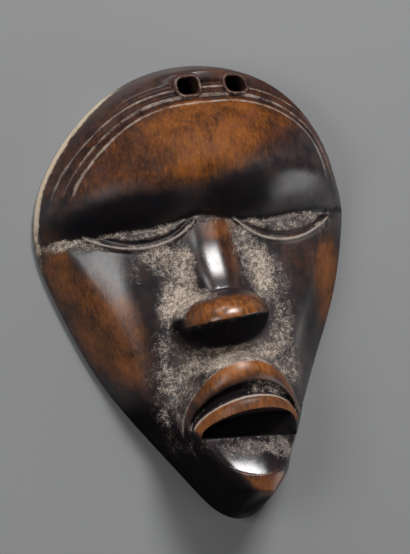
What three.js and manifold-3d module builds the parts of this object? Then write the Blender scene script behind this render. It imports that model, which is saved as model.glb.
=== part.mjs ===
import * as THREE from 'three';
import { mergeVertices } from 'three/addons/utils/BufferGeometryUtils.js';
import Module from 'manifold-3d';

// A small face mask carved from one piece of wood, lying face up on its flat back rim.
// Millimetres. X runs across the face, Y up the face to the forehead and Z out of the face.
// The carved front is one height over the teardrop outline, built up from named features.

const wasm = await Module();
wasm.setup();

// Overall size
const maskLength = 142.2;
const maskWidth = 99.6;
const maskDepth = 40.4;

// Wood left by the hollow back
const wallThickness = 7;
const rimWidth = 5;
const hollowSideSlope = 2.2;

// Two cord holes bored from the hairline band to the hollow back
const holeWidth = 6.4;
const holeHeight = 5.6;
const holeCornerRadius = 2;
const holeSpacing = 15.2;
const holeCentreX = 4.4;
const holeFromTop = 9.2;

// The carving is drawn for a mask of this size, and stretches with the real one
const drawn = { width: 99.6, length: 142.2, depth: 40.4 };

// Outline of the back rim: half an ellipse above the widest line, a taper to a blunt chin below
const outline = { widestY: 22, topY: 71.6, chinY: -70.6 };
const taper = { pastChin: 8.4, power: 1.5, chinRadius: 7, chinSpread: 0.5, blend: 1.5, easeIn: 3 };
const lean = { whole: -1.6, atChin: 4.8, atTop: 2.8, atCheek: 0.6, cheekY: 14 };

// Side wall, which leans in from the rim to the face
const side = { edge: 2.5, topEdge: 5.5, chinEdge: 3, blend: 3, cheekBlend: 3, jawBlend: 5 };
const leftJaw = { drop: 8.5, width: 8 };
const sideSlope = { cheek: 1.75, jaw: 2.7, chin: 1, temple: 1.2, top: 1, leftOfChin: 9, rightOfChin: 1.4 };

// Face between the brow and the mouth
const face = { height: 24, fall: 16, power: 2.1 };
const cheek = { x: 30, y: -4, rise: 1.6, width: 9, length: 14 };
const besideNose = { x: 15, dip: 2.2, width: 6 };
const muzzle = { x: 1.5, y: -44, halfWidth: 19.5, above: 27, below: 24 };
const muzzleRise = { height: 32, fall: 13, power: 2.4, blend: 3 };

// Forehead, a dome that overhangs the eyes along the crease
const forehead = { centreY: 26, below: 70, height: 34.6, low: 5, lowAtTop: 7, power: 2.6, roundness: 0.7 };
const crease = { y: 20.3, tilt: 0.03 };
const creaseArch = { x: -5, height: 2.6, width: 8 };
const creaseDip = { x: 17, depth: 1, width: 7 };
const brow = { reach: 17, power: 2.1, undercut: 1.3, blend: 0.7 };

// Closed eyes under the crease: a lid ridge, a gap above it and the eyeball between
const eye = { x: 22.8, halfWidth: 17.6, y: 21, leftDepth: 6, rightDepth: 7, bulge: 1.5 };
const lid = { innerLift: 1.2, gapDepth: 1, gapWidth: 0.8, ridgeHeight: 1.1, ridgeWidth: 0.95 };

// Nose: a soft ridge that ends in a crescent cap with a flat underside
const nose = { x: 0.2, y: -9.8, turn: 6, length: 30.5, rootHeight: 25.6, climb: 0.1, blend: 1.1 };
const ridgeBlend = { size: 3.2, from: 6, to: 14 };
const ridge = { halfWidth: 6, rootWiden: 0.6, leftFall: 3.4, rightFall: 4.6 };
const hump = { rise: 1.8, from: 25, to: 12, swell: 1.2, swellAlong: 16, swellLength: 6 };
const cap = { shift: -1.2, halfWidth: 14.2, length: 9.8, height: 27.5, rise: 12.9, power: 2.3, roundness: 0.85 };
const capFall = { drop: 70, underside: 1.55 };

// Mouth: a bowed upper lip over a second narrow band, and a deep opening under them
const mouth = { x: 2, y: -43.5, turn: 5, blend: 0.8 };
const lip = { halfWidth: 19.3, above: 21.2, below: 13, drop: 90, soften: 1.2, sag: 0.1 };
const lipBow = { height: 22.5, rise: 16, power: 2.2 };
const lipEdge = { halfWidth: 17.6, height: 14.2 };
const band = { halfWidth: 17, height: 10.2, innerHalfWidth: 15, innerHeight: 6, grooveDepth: 3.4 };
const opening = { floor: 25.2, cornerLift: 4.5, roofSlope: 5.5, endSlope: 3, end: 13.6, blend: 0.5 };

// Lower lip: a dished shelf that rises to the front edge of the chin
const shelf = { y: -45.5, tilt: -0.04, x: 3.4, left: 17.2, right: 12, length: 11.3, roundness: 0.7 };
const shelfRise = { height: 36.8, leftFall: 4, rightFall: 8.2, edgeSlope: 2.5 };
const dish = { depth: 2.3, power: 2, step: 0.9, inMouth: 0.12 };
const chinJoin = 3;
const chin = { x: 2, y: -61, turn: -6, height: 37, leftCurve: 0.006, rightCurve: 0.04 };
const chinSide = { fall: 6, width: 20 };
const chinSlope = { edgeY: -57, above: 0.05, below: 0.12, topY: -46, top: 0.8 };
const chinFacet = { base: 36, underside: 2.7, blend: 2 };

// Hairline band: it steps down from the forehead, with three grooves that stop at the cord holes,
// and a low lip round each hole
const grooves = [
  { inset: 14, narrowing: 0.19, depth: 0.9, width: 0.85 },
  { inset: 11.1, narrowing: 0.16, depth: 0.8, width: 0.7 },
  { inset: 8.3, narrowing: 0.13, depth: 0.9, width: 0.75 },
];
const bandStep = { drop: 0.8, fromY: 26, toY: 36, spread: 6 };
const holeLip = { out: 0.55, rise: 0.35, width: 0.5, clear: 0.5, fade: 1.5 };

// Fineness of the net over the front, and the number of rings and rays of the hollow
const sampleSpacing = 0.5;
const innerPoints = 4075;
const edgeCount = 150;
const hollowRings = 8;
const hollowRays = 48;
const outlinePoints = 720;

const stretchX = maskWidth / drawn.width;
const stretchY = maskLength / drawn.length;
const stretchZ = maskDepth / drawn.depth;

const clamp = (v, low, high) => Math.min(Math.max(v, low), high);

function ramp(from, to, v) {
  const t = clamp((v - from) / (to - from), 0, 1);
  return t * t * (3 - 2 * t);
}

function bell(v, width) {
  return Math.exp(-((v / width) ** 2));
}

// Larger or smaller of two heights, with a fillet of about the given size between them
function smoothMax(a, b, size) {
  const h = clamp(0.5 + 0.5 * (a - b) / size, 0, 1);
  return b * (1 - h) + a * h + size * h * (1 - h);
}

function smoothMin(a, b, size) {
  return -smoothMax(-a, -b, size);
}

// Position as seen from a feature's own centre and turn
function seenFrom(feature, x, y) {
  const turn = THREE.MathUtils.degToRad(feature.turn);
  const dx = x - feature.x;
  const dy = y - feature.y;
  return [dx * Math.cos(turn) + dy * Math.sin(turn), dy * Math.cos(turn) - dx * Math.sin(turn)];
}

// Height of an arch of the given half width at a distance across from its middle
function archHeight(across, halfWidth, height) {
  return height * Math.sqrt(Math.max(1 - (across / halfWidth) ** 2, 0));
}

function middleX(y) {
  const chinShift = lean.atChin * ramp(-18, -64, y);
  const topShift = lean.atTop * ramp(28, 58, y);
  return lean.whole + chinShift + topShift - lean.atCheek * bell(y - lean.cheekY, 12);
}

function halfWidthAt(y) {
  const full = drawn.width / 2;
  if (y > outline.widestY) {
    const up = (y - outline.widestY) / (outline.topY - outline.widestY);
    return full * Math.sqrt(Math.max(1 - up * up, 0));
  }
  const taperLength = outline.widestY - outline.chinY + taper.pastChin;
  const tapered = full * (1 - ((outline.widestY - y) / taperLength) ** taper.power);
  const rise = Math.max(y - outline.chinY, 0);
  const blunt = Math.sqrt(2 * taper.chinRadius * rise + taper.chinSpread * rise * rise);
  return smoothMin(tapered, blunt, taper.blend * clamp(rise / taper.easeIn, 0.001, 1));
}

function outlineLoop() {
  const middle = (outline.topY + outline.chinY) / 2;
  const half = (outline.topY - outline.chinY) / 2;
  const loop = [];
  for (let i = 0; i < outlinePoints; i++) {
    const angle = (2 * Math.PI * i) / outlinePoints;
    const y = middle + half * Math.cos(angle);
    loop.push([middleX(y) + Math.sign(Math.sin(angle)) * halfWidthAt(y), y]);
  }
  return loop;
}

const loop = outlineLoop();

// Distance in from the outline
function insetAt(x, y) {
  let nearest = Infinity;
  for (let i = 0; i < loop.length; i++) {
    const [ax, ay] = loop[i];
    const [bx, by] = loop[(i + 1) % loop.length];
    const ex = bx - ax;
    const ey = by - ay;
    const t = clamp(((x - ax) * ex + (y - ay) * ey) / (ex * ex + ey * ey), 0, 1);
    nearest = Math.min(nearest, (x - ax - t * ex) ** 2 + (y - ay - t * ey) ** 2);
  }
  return Math.sqrt(nearest);
}

function facePlane(x, y) {
  const across = clamp((x - middleX(y)) / Math.max(halfWidthAt(y), 4), -1.2, 1.2);
  return face.height - face.fall * Math.abs(across) ** face.power;
}

function creaseY(x) {
  const arch = creaseArch.height * bell(x - creaseArch.x, creaseArch.width);
  return crease.y + crease.tilt * x + arch - creaseDip.depth * bell(x - creaseDip.x, creaseDip.width);
}

function browHeight(x, y) {
  const reachY = y > forehead.centreY ? outline.topY - forehead.centreY : forehead.below;
  const out = Math.hypot((x - middleX(y)) / (drawn.width / 2), (y - forehead.centreY) / reachY);
  const low = forehead.low + forehead.lowAtTop * ramp(45, 70, y);
  const round = Math.max(1 - out ** forehead.power, 1e-4) ** forehead.roundness;
  const dome = low + (forehead.height - low) * round;
  const foot = facePlane(x, y) - 0.6;
  const above = y - creaseY(x);
  if (above < 0) return foot + brow.undercut * above;
  return foot + (dome - foot) * (1 - (1 - clamp(above / brow.reach, 0, 1)) ** brow.power);
}

function sideWall(x, y, inset) {
  const jaw = sideSlope.jaw * ramp(-18, -42, y) - sideSlope.chin * ramp(-52, -70, y);
  const temple = sideSlope.temple * ramp(12, 34, y) + sideSlope.top * ramp(45, 70, y);
  const leftOfChin = sideSlope.leftOfChin * ramp(8, -6, x) * ramp(-40, -64, y);
  const rightOfChin = sideSlope.rightOfChin * ramp(0, 8, x) * ramp(-50, -58, y);
  const edge = side.edge + side.topEdge * ramp(48, 70, y) + side.chinEdge * ramp(-55, -70, y);
  return edge + (sideSlope.cheek + jaw + temple + leftOfChin + rightOfChin) * inset;
}

function withCheeks(height, x, y) {
  const out = Math.abs(x);
  const swell = cheek.rise * bell(out - cheek.x, cheek.width) * bell(y - cheek.y, cheek.length);
  const dip = besideNose.dip * bell(out - besideNose.x, besideNose.width);
  return height + swell - dip * ramp(20, -8, y) * ramp(-44, -26, y);
}

function muzzleHeight(x, y) {
  const reach = y > muzzle.y ? muzzle.above : muzzle.below;
  const out = Math.hypot((x - muzzle.x) / muzzle.halfWidth, (y - muzzle.y) / reach);
  return muzzleRise.height - muzzleRise.fall * out ** muzzleRise.power;
}

function withEyes(height, x, y) {
  const across = clamp((Math.abs(x) - eye.x) / eye.halfWidth, -1.3, 1.3);
  const within = 1 - across * across;
  const depth = x > 0 ? eye.rightDepth : eye.leftDepth;
  const lidY = eye.y - depth * Math.max(within, 0) + lid.innerLift * bell(Math.abs(x) - 6, 4);
  const top = creaseY(x);
  const part = clamp((y - lidY) / Math.max(top - lidY, 0.5), 0, 1);
  const ball = eye.bulge * Math.sqrt(Math.max(1 - (2 * part - 1) ** 2, 0)) * Math.max(within, 0);
  const gap = lid.gapDepth * bell(y - lidY - 1.2, lid.gapWidth) * ramp(0, 0.15, within);
  const rim = lid.ridgeHeight * bell(y - lidY + 0.5, lid.ridgeWidth) * ramp(0, 0.2, within + 0.02);
  return height + ball * ramp(0, 1.2, top - y + 0.4) * ramp(0, 1.2, y - lidY) - gap + rim;
}

function noseHeight(x, y) {
  const [across, along] = seenFrom(nose, x, y);
  if (along > nose.length) return 0;
  const up = Math.max(along, 0);
  const under = capFall.underside * Math.min(along, 0);
  const swell = hump.swell * bell(up - hump.swellAlong, hump.swellLength);
  const halfWidth = ridge.halfWidth + ridge.rootWiden * ramp(14, 24, up) + swell;
  const humpRise = hump.rise * ramp(hump.from, hump.to, up);
  const crest = nose.rootHeight + (nose.length - along) * nose.climb + humpRise;
  const share = Math.abs(across) / halfWidth;
  const flank = across > 0 ? ridge.rightFall * share ** 3 : ridge.leftFall * share ** 3.5;
  const out = Math.hypot((across - cap.shift) / cap.halfWidth, up / cap.length);
  const capRound = cap.rise * Math.max(1 - out ** cap.power, 0) ** cap.roundness;
  const capTop = cap.height + capRound - capFall.drop * Math.max(out - 1, 0) + under;
  return smoothMax(crest - flank + under, capTop, nose.blend);
}

function withMouth(height, x, y) {
  const [across, up] = seenFrom(mouth, x, y);
  const bow = 1 - clamp(Math.abs(across) / lip.halfWidth, 0, 1) ** lipBow.power;
  const bowed = lipBow.height + lipBow.rise * bow;
  const out = Math.hypot(across / lip.halfWidth, up / (up > 0 ? lip.above : lip.below));
  const softened = lip.soften * clamp((out - 0.8) / 0.2, 0, 1) ** 2 + lip.sag * Math.min(up, 0) ** 2;
  const upper = bowed - softened - lip.drop * Math.max(out - 1, 0);
  let carved = smoothMax(height, upper, mouth.blend);

  // Groove between the lip and the band under it
  const lipLow = archHeight(across, lipEdge.halfWidth, lipEdge.height);
  const bandTop = archHeight(across, band.halfWidth, band.height);
  const grooveWidth = Math.max((lipLow - bandTop) / 2, 0.35);
  const grooveEnds = ramp(0, 0.2, 1 - (across / lipEdge.halfWidth) ** 2) * (up > -1 ? 1 : 0);
  carved -= band.grooveDepth * bell(up - (lipLow + bandTop) / 2, grooveWidth * 1.05) * grooveEnds;

  // Block of the chin, whose front edge runs under the lower lip
  if (y < -38) carved = smoothMax(carved, chinHeight(x, y), chinJoin);

  // Opening of the mouth and the dished shelf below it
  const bandLow = archHeight(across, band.innerHalfWidth, band.innerHeight);
  const aboveShelf = y - (shelf.y + shelf.tilt * x);
  const onLeft = x < shelf.x;
  const shelfAcross = Math.min(Math.abs(x - shelf.x) / (onLeft ? shelf.left : shelf.right), 1);
  const shelfLength = shelf.length * Math.max(1 - shelfAcross ** 2, 0) ** shelf.roundness;
  const fall = onLeft ? shelfRise.leftFall : shelfRise.rightFall;
  const frontEdge = shelfRise.height - fall * shelfAcross ** 2;
  const down = clamp(-aboveShelf / Math.max(shelfLength, 0.3), 0, 1);
  const past = shelfRise.edgeSlope * Math.max(-aboveShelf - shelfLength, 0);
  const dished = frontEdge - dish.depth * (1 - shelfAcross ** 2) * (1 - down ** dish.power) + past;
  const cavity = opening.floor + opening.cornerLift * shelfAcross ** 4 + dish.inMouth * Math.max(aboveShelf, 0);
  const floor = cavity + (dished - cavity) * ramp(dish.step, 0, aboveShelf);
  const roof = bowed - opening.roofSlope * (bandLow - up);
  const end = opening.floor + opening.endSlope * (Math.abs(across) - opening.end);
  return smoothMin(carved, Math.max(floor, roof, end), opening.blend);
}

function chinHeight(x, y) {
  const [across, up] = seenFrom(chin, x, y);
  const below = chinSlope.edgeY - y;
  const near = chinSlope.above * Math.max(-below, 0) + chinSlope.below * Math.max(below, 0);
  const slope = near + chinSlope.top * Math.max(y - chinSlope.topY, 0);
  const leftFall = chin.leftCurve * across ** 2 + chinSide.fall * (across / chinSide.width) ** 6;
  const sideFall = across < 0 ? leftFall : chin.rightCurve * across ** 2;
  const front = chin.height - sideFall - slope;
  return smoothMin(front, chinFacet.base + chinFacet.underside * (up + 1), chinFacet.blend);
}

function withHairline(height, x, y, inset) {
  const spread = Math.hypot(x, bandStep.spread) - bandStep.spread;
  const fade = ramp(bandStep.fromY, bandStep.toY, y);
  const bandEdge = grooves[0].inset - grooves[0].narrowing * spread;
  let cut = bandStep.drop * ramp(bandEdge + 0.2, bandEdge - 0.6, inset);
  for (const groove of grooves) {
    cut += groove.depth * bell(inset - groove.inset + groove.narrowing * spread, groove.width);
  }
  const out = beyondHoles(x, y);
  const lipRise = holeLip.rise * bell(out - holeLip.out, holeLip.width);
  return height - cut * fade * ramp(holeLip.clear, holeLip.fade, out) + lipRise;
}

// Distance out from the nearer of the two round-cornered cord holes
function beyondHoles(x, y) {
  const holeY = outline.topY - holeFromTop / stretchY;
  const fromHole = Math.abs(Math.abs(x - holeCentreX / stretchX) - holeSpacing / stretchX / 2);
  const sideways = fromHole - holeWidth / 2 + holeCornerRadius;
  const upways = Math.abs(y - holeY) - holeHeight / 2 + holeCornerRadius;
  return Math.hypot(Math.max(sideways, 0), Math.max(upways, 0)) - holeCornerRadius;
}

// Carved front over the drawn outline
function frontHeight(x, y) {
  const inset = insetAt(x, y);
  let height = withCheeks(facePlane(x, y), x, y);
  height = smoothMax(height, muzzleHeight(x, y), muzzleRise.blend);
  height = withEyes(height, x, y);
  const upNose = seenFrom(nose, x, y)[1];
  const noseBlend = nose.blend + ridgeBlend.size * ramp(ridgeBlend.from, ridgeBlend.to, upNose);
  height = smoothMax(height, noseHeight(x, y), noseBlend);
  height = withMouth(height, x, y);
  height = smoothMax(height, browHeight(x, y), brow.blend);
  const onCheek = ramp(26, 10, y) * ramp(-52, -36, y);
  const wallBlend = side.blend + side.cheekBlend * onCheek + side.jawBlend * ramp(-36, -52, y);
  const onLeftJaw = ramp(-40, -47, y) * ramp(6, -4, x);
  height -= leftJaw.drop * Math.max(1 - inset / leftJaw.width, 0) ** 2 * onLeftJaw;
  height = smoothMin(height, sideWall(x, y, inset), wallBlend);
  return withHairline(height, x, y, inset);
}

// Hollow back, a plainer copy of the front one wall thickness below it
function hollowHeight(x, y) {
  const underBrow = browHeight(x, y - (0.7 * wallThickness) / stretchY);
  const under = smoothMax(facePlane(x, y), underBrow, 2) * stretchZ - wallThickness;
  const inset = insetAt(x, y) * Math.min(stretchX, stretchY) - rimWidth;
  return Math.max(smoothMin(under, hollowSideSlope * inset, 4), 0);
}

function geometryOf(points, triangles) {
  const geometry = new THREE.BufferGeometry();
  geometry.setAttribute('position', new THREE.Float32BufferAttribute(points.flat(), 3));
  geometry.setIndex(triangles.flat());
  return geometry;
}

function solidOf(geometry) {
  geometry.deleteAttribute('normal');
  geometry.deleteAttribute('uv');
  const merged = mergeVertices(geometry, 1e-4);
  const vertProperties = new Float32Array(merged.attributes.position.array);
  const triVerts = new Uint32Array(merged.index.array);
  return new wasm.Manifold(new wasm.Mesh({ numProp: 3, vertProperties, triVerts }));
}

function cross(a, b, c) {
  return (b[0] - a[0]) * (c[1] - a[1]) - (b[1] - a[1]) * (c[0] - a[0]);
}

function isInTriangle([a, b, c], p) {
  return cross(a, b, p) >= 0 && cross(b, c, p) >= 0 && cross(c, a, p) >= 0;
}

// Whether a point lies within the circle through a triangle's corners
function isInCircle([a, b, c], p) {
  const [ax, ay] = [a[0] - p[0], a[1] - p[1]];
  const [bx, by] = [b[0] - p[0], b[1] - p[1]];
  const [cx, cy] = [c[0] - p[0], c[1] - p[1]];
  const [aa, bb, cc] = [ax * ax + ay * ay, bx * bx + by * by, cx * cx + cy * cy];
  return aa * (bx * cy - cx * by) - bb * (ax * cy - cx * ay) + cc * (ax * by - bx * ay) > 0;
}

// Gives a triangle its samples, and notes the one that its plane misses by most
function takeSamples(triangle, samples) {
  const [a, b, c] = triangle.corners;
  const area = cross(a, b, c);
  triangle.samples = samples;
  triangle.miss = 0;
  for (const sample of samples) {
    const [toA, toB, toC] = [cross(b, c, sample), cross(c, a, sample), cross(a, b, sample)];
    const flat = (toA * a[2] + toB * b[2] + toC * c[2]) / area;
    const miss = Math.abs(sample[2] - flat) * sample.weight;
    if (miss > triangle.miss) {
      triangle.miss = miss;
      triangle.worst = sample;
    }
  }
}

// Adds a point to the net: the triangles whose circles hold it give way to a fan round it
function addToNet(net, point, start) {
  const cleared = new Set([start]);
  const rim = [];
  for (const triangle of cleared) {
    for (const other of triangle.across) {
      if (other && !cleared.has(other) && isInCircle(other.corners, point)) cleared.add(other);
    }
  }
  for (const triangle of cleared) {
    triangle.across.forEach((other, i) => {
      if (cleared.has(other)) return;
      rim.push([triangle.corners[(i + 1) % 3], triangle.corners[(i + 2) % 3], other, triangle]);
    });
  }
  const startingAt = new Map();
  const endingAt = new Map();
  const fan = rim.map(([from, to, other, old]) => {
    const triangle = { corners: [point, from, to], across: [other, null, null] };
    if (other) other.across[other.across.indexOf(old)] = triangle;
    startingAt.set(from, triangle);
    endingAt.set(to, triangle);
    return triangle;
  });
  for (const triangle of fan) {
    triangle.across[1] = startingAt.get(triangle.corners[2]);
    triangle.across[2] = endingAt.get(triangle.corners[1]);
    net.add(triangle);
  }
  let samples = [...cleared].flatMap((triangle) => triangle.samples).filter((sample) => sample !== point);
  for (const triangle of fan) {
    const inside = samples.filter((sample) => isInTriangle(triangle.corners, sample));
    takeSamples(triangle, inside);
    const taken = new Set(inside);
    samples = samples.filter((sample) => !taken.has(sample));
  }
  for (const triangle of cleared) net.delete(triangle);
}

// Samples of the carved front, in staggered rows that keep clear of the outline
function frontSamples() {
  const samples = [];
  const margin = 1.5;
  let row = 0;
  for (let y = outline.chinY + margin; y < outline.topY - margin; y += sampleSpacing * 0.87, row++) {
    const width = halfWidthAt(y);
    const first = middleX(y) - width + (row % 2) * sampleSpacing / 2;
    for (let x = first; x < middleX(y) + width; x += sampleSpacing) {
      if (insetAt(x, y) < margin) continue;
      const z = frontHeight(x, y);
      const slope = Math.hypot(frontHeight(x + 0.05, y) - z, frontHeight(x, y + 0.05) - z) / 0.05;
      const sample = [x, y, z];
      sample.weight = 1 / Math.hypot(1, slope);
      samples.push(sample);
    }
  }
  return samples;
}

// Net of triangles over the outline: it starts from the edge alone, and takes in the worst-missed
// sample over and over, so the triangles are small where the carving bends and large where it is plain
function buildNet(edge) {
  const far = 1000;
  const [a, b, c] = [[-far, -far, 0], [far, -far, 0], [0, far, 0]];
  const net = new Set([{ corners: [a, b, c], across: [null, null, null], samples: [], miss: 0 }]);
  const findAt = (point) => [...net].find((triangle) => isInTriangle(triangle.corners, point));
  for (const point of edge) addToNet(net, point, findAt(point));
  const shares = new Map([...net].map((triangle) => [triangle, []]));
  for (const sample of frontSamples()) {
    const triangle = findAt(sample);
    if (triangle) shares.get(triangle).push(sample);
  }
  for (const [triangle, samples] of shares) takeSamples(triangle, samples);
  for (let added = 0; added < innerPoints; added++) {
    let worst = null;
    for (const triangle of net) {
      if (!worst || triangle.miss > worst.miss) worst = triangle;
    }
    addToNet(net, worst.worst, worst);
  }
  const isReal = (corner) => corner !== a && corner !== b && corner !== c;
  return [...net].map((triangle) => triangle.corners).filter((corners) => {
    const x = (corners[0][0] + corners[1][0] + corners[2][0]) / 3;
    const y = (corners[0][1] + corners[1][1] + corners[2][1]) / 3;
    return corners.every(isReal) && Math.abs(x - middleX(y)) < halfWidthAt(y);
  });
}

// Points spaced evenly down one side of the outline and up the other, at the height of the
// wall's short upright edge
function edgePoints() {
  const half = loop.length / 2;
  const points = [];
  for (const first of [0, half]) {
    const line = Array.from({ length: half + 1 }, (_, i) => loop[(first + i) % loop.length]);
    const passed = [0];
    for (let i = 0; i < half; i++) {
      passed.push(passed[i] + Math.hypot(line[i + 1][0] - line[i][0], line[i + 1][1] - line[i][1]));
    }
    for (let step = 0; step < edgeCount / 2; step++) {
      const target = (passed[half] * step) / (edgeCount / 2);
      const [x, y] = line[passed.findIndex((length) => length >= target)];
      points.push([x, y, frontHeight(x, y)]);
    }
  }
  return points;
}

function buildFront() {
  const edge = edgePoints();
  const number = new Map();
  const points = [];
  const triangles = [];
  const addPoint = ([x, y, z]) => points.push([x * stretchX, y * stretchY, z * stretchZ]) - 1;
  const numberOf = (corner) => {
    if (!number.has(corner)) number.set(corner, addPoint(corner));
    return number.get(corner);
  };
  for (const corners of buildNet(edge)) triangles.push(corners.map(numberOf));

  // Short upright edge from the carved front down to the rim, and the flat under it
  const foot = edge.map(([x, y]) => addPoint([x, y, 0]));
  const middle = addPoint([0, 0, 0]);
  edge.forEach((corner, i) => {
    const next = (i + 1) % edge.length;
    const [top, nextTop] = [numberOf(corner), numberOf(edge[next])];
    triangles.push([nextTop, foot[next], foot[i]]);
    triangles.push([nextTop, foot[i], top]);
    triangles.push([middle, foot[i], foot[next]]);
  });
  return solidOf(geometryOf(points, triangles));
}

// Direction of one ray of the hollow, closer together towards the forehead and the chin
function rayAngle(ray) {
  const turn = (2 * Math.PI * ray) / hollowRays;
  return Math.atan2(maskLength * Math.sin(turn), maskWidth * Math.cos(turn));
}

// Distance from the middle of the face to the inner edge of the rim along one ray
function reachToRim(angle) {
  const inset = rimWidth / Math.min(stretchX, stretchY);
  let near = 0;
  let far = 90;
  for (let i = 0; i < 24; i++) {
    const reach = (near + far) / 2;
    const x = reach * Math.cos(angle);
    const y = reach * Math.sin(angle);
    const beyond = y > outline.topY || y < outline.chinY || Math.abs(x - middleX(y)) > halfWidthAt(y);
    if (beyond || insetAt(x, y) < inset) far = reach;
    else near = reach;
  }
  return near;
}

function buildHollow() {
  const below = -5;
  const points = [[0, 0, hollowHeight(0, 0)]];
  const triangles = [];
  const angles = Array.from({ length: hollowRays }, (_, ray) => rayAngle(ray));
  const reaches = angles.map(reachToRim);
  for (let ring = 1; ring <= hollowRings; ring++) {
    const share = Math.sin((ring / hollowRings) * Math.PI / 2) ** 0.9;
    for (let ray = 0; ray < hollowRays; ray++) {
      const x = reaches[ray] * share * Math.cos(angles[ray]);
      const y = reaches[ray] * share * Math.sin(angles[ray]);
      const z = ring === hollowRings ? 0 : hollowHeight(x, y);
      points.push([x * stretchX, y * stretchY, z]);
    }
  }
  const at = (ring, ray) => 1 + (ring - 1) * hollowRays + (ray % hollowRays);
  const lastRing = points.slice(at(hollowRings, 0), at(hollowRings, 0) + hollowRays);
  const floor = points.length;
  for (const [x, y] of lastRing) points.push([x, y, below]);
  const middle = points.push([0, 0, below]) - 1;
  for (let ray = 0; ray < hollowRays; ray++) {
    triangles.push([0, at(1, ray), at(1, ray + 1)]);
    for (let ring = 1; ring < hollowRings; ring++) {
      triangles.push([at(ring, ray), at(ring + 1, ray), at(ring + 1, ray + 1)]);
      triangles.push([at(ring, ray), at(ring + 1, ray + 1), at(ring, ray + 1)]);
    }
    const next = (ray + 1) % hollowRays;
    triangles.push([at(hollowRings, ray), floor + ray, floor + next]);
    triangles.push([at(hollowRings, ray), floor + next, at(hollowRings, ray + 1)]);
    triangles.push([middle, floor + next, floor + ray]);
  }
  return solidOf(geometryOf(points, triangles));
}

function roundedRectangle(width, height, radius) {
  const shape = new THREE.Shape();
  const [w, h] = [width / 2 - radius, height / 2 - radius];
  shape.absarc(w, h, radius, 0, Math.PI / 2);
  shape.absarc(-w, h, radius, Math.PI / 2, Math.PI);
  shape.absarc(-w, -h, radius, Math.PI, Math.PI * 1.5);
  shape.absarc(w, -h, radius, Math.PI * 1.5, Math.PI * 2);
  return shape;
}

function buildCordHole(x) {
  const shape = roundedRectangle(holeWidth, holeHeight, holeCornerRadius);
  const options = { depth: 2 * maskDepth, bevelEnabled: false, curveSegments: 4 };
  const bore = new THREE.ExtrudeGeometry(shape, options);
  bore.translate(x, outline.topY * stretchY - holeFromTop, -maskDepth / 2);
  return solidOf(bore);
}

function buildMask() {
  const left = buildCordHole(holeCentreX - holeSpacing / 2);
  const right = buildCordHole(holeCentreX + holeSpacing / 2);
  const carved = buildFront().subtract(buildHollow()).subtract(left).subtract(right);
  const { vertProperties, triVerts } = carved.getMesh();
  const geometry = new THREE.BufferGeometry();
  geometry.setAttribute('position', new THREE.BufferAttribute(vertProperties, 3));
  geometry.setIndex(new THREE.BufferAttribute(triVerts, 1));
  geometry.computeBoundingBox();
  const centre = geometry.boundingBox.getCenter(new THREE.Vector3());
  geometry.translate(-centre.x, -centre.y, -geometry.boundingBox.min.z);
  geometry.computeVertexNormals();
  return geometry;
}

const wood = new THREE.MeshStandardMaterial({ color: 0x5a2d14, roughness: 0.38, metalness: 0 });
const mask = new THREE.Mesh(buildMask(), wood);
mask.name = 'mask';

const group = new THREE.Group();
group.add(mask);

export default group;
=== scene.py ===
from math import radians
from types import SimpleNamespace as Sizes

import bmesh
import bpy
import numpy as np
from mathutils import Matrix, Vector


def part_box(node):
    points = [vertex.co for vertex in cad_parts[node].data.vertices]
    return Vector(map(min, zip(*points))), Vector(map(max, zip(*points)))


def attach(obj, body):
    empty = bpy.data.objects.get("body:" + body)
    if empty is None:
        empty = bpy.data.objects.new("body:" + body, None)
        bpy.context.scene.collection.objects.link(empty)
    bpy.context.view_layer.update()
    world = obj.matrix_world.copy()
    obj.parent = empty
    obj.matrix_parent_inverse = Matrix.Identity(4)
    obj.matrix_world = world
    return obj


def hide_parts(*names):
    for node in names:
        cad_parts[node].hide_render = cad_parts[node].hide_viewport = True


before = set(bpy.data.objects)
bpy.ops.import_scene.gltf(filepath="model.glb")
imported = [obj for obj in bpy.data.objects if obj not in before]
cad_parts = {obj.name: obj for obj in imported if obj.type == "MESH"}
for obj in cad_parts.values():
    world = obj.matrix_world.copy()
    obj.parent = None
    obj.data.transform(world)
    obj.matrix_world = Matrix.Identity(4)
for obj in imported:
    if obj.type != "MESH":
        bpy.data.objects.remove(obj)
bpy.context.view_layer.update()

# A small carved face mask that lies face up on its flat back rim.
# The carving is drawn in millimetres, x across the face, y up to the forehead, z out of the face.

MM = 0.001

# Sizes of the solid

WIDTH = 99.6
WALL = 7
RIM = 5

hollow = Sizes(slope=2.2, brow_shift=0.7, brow_blend=2, side_blend=4, rim_blend=0.8)

hole = Sizes(width=6.4, height=5.6, radius=2, spacing=15.2, x=4.4, from_top=9.2)
hole_reach = Sizes(low=-5, high=45)

outline = Sizes(widest_y=22, top_y=71.6, chin_y=-70.6)
taper = Sizes(past_chin=8.4, power=1.5, chin_radius=7, chin_spread=0.5, blend=1.5, ease_in=3)
lean = Sizes(whole=-1.6, at_chin=4.8, at_top=2.8, at_cheek=0.6, cheek_y=14, cheek_spread=12)

side = Sizes(edge=2.5, top_edge=5.5, chin_edge=3, blend=3, cheek_blend=3, jaw_blend=5)
left_jaw = Sizes(drop=8.5, width=8)
side_slope = Sizes(cheek=1.75, jaw=2.7, chin=1, temple=1.2, top=1, left_of_chin=9, right_of_chin=1.4)

face = Sizes(height=24, fall=16, power=2.1)
cheek = Sizes(x=30, y=-4, rise=1.6, width=9, length=14)
beside_nose = Sizes(x=15, dip=2.2, width=6)
muzzle = Sizes(x=1.5, y=-44, half_width=19.5, above=27, below=24)
muzzle_rise = Sizes(height=32, fall=13, power=2.4, blend=3)

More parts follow.
